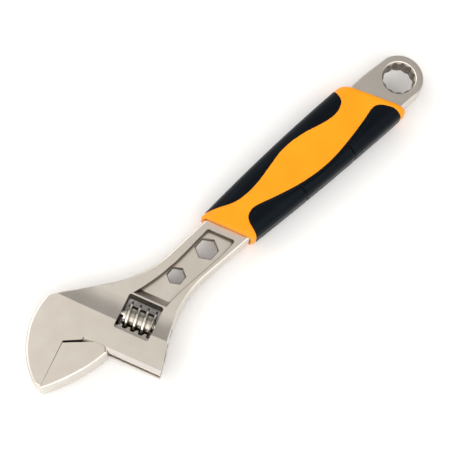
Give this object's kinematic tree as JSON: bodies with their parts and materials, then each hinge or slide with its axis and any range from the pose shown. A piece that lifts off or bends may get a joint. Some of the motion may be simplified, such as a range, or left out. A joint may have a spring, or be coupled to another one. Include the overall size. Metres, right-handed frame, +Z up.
{
  "type": "adjustable wrench",
  "caption": "Adjustable open-end wrench with a worm-driven sliding jaw, hex holes in the shank, a two-material grip and a twelve-point ring end.",
  "frame": {"origin": "centre of the bounding box with the jaws closed, on the plane that the grip's back rests on", "axes": "+X along the handle from the head to the ring end, +Y towards the fixed jaw, +Z up out of the front face"},
  "size_m": [0.2544, 0.0654, 0.018],
  "materials": {
    "nickel_plated_steel": "satin nickel plate over forged steel, brushed flats",
    "worm_steel": "machined steel, dark in the thread's roots and bright on the crests",
    "spring_steel": "plain drawn wire",
    "orange_plastic": "moulded, fine satin texture",
    "black_rubber": "moulded soft plastic, satin"
  },
  "bodies": {
    "wrench_body": {"body": "nickel_plated_steel", "worm_pin": "worm_steel", "worm_spring": "spring_steel", "grip_sleeve": "orange_plastic", "grip_inlay_left": "black_rubber", "grip_inlay_right": "black_rubber"},
    "sliding_jaw": {"movable_jaw": "nickel_plated_steel"},
    "worm": {"worm": "worm_steel"}
  },
  "joints": [
    {"name": "jaw_slide", "type": "slide", "parent": "wrench_body", "child": "sliding_jaw", "axis": [0.3907, -0.9205, 0], "range_m": [0, 0.029]},
    {"name": "worm_spin", "type": "hinge", "parent": "wrench_body", "child": "worm", "pos_m": [-0.06849, -0.00505, 0.009], "axis": [-0.3907, 0.9205, 0], "range_deg": [0, 2458]}
  ],
  "couplings": [
    {"joint": "worm_spin", "follows": "jaw_slide", "rad_per_m": 1478.4}
  ]
}
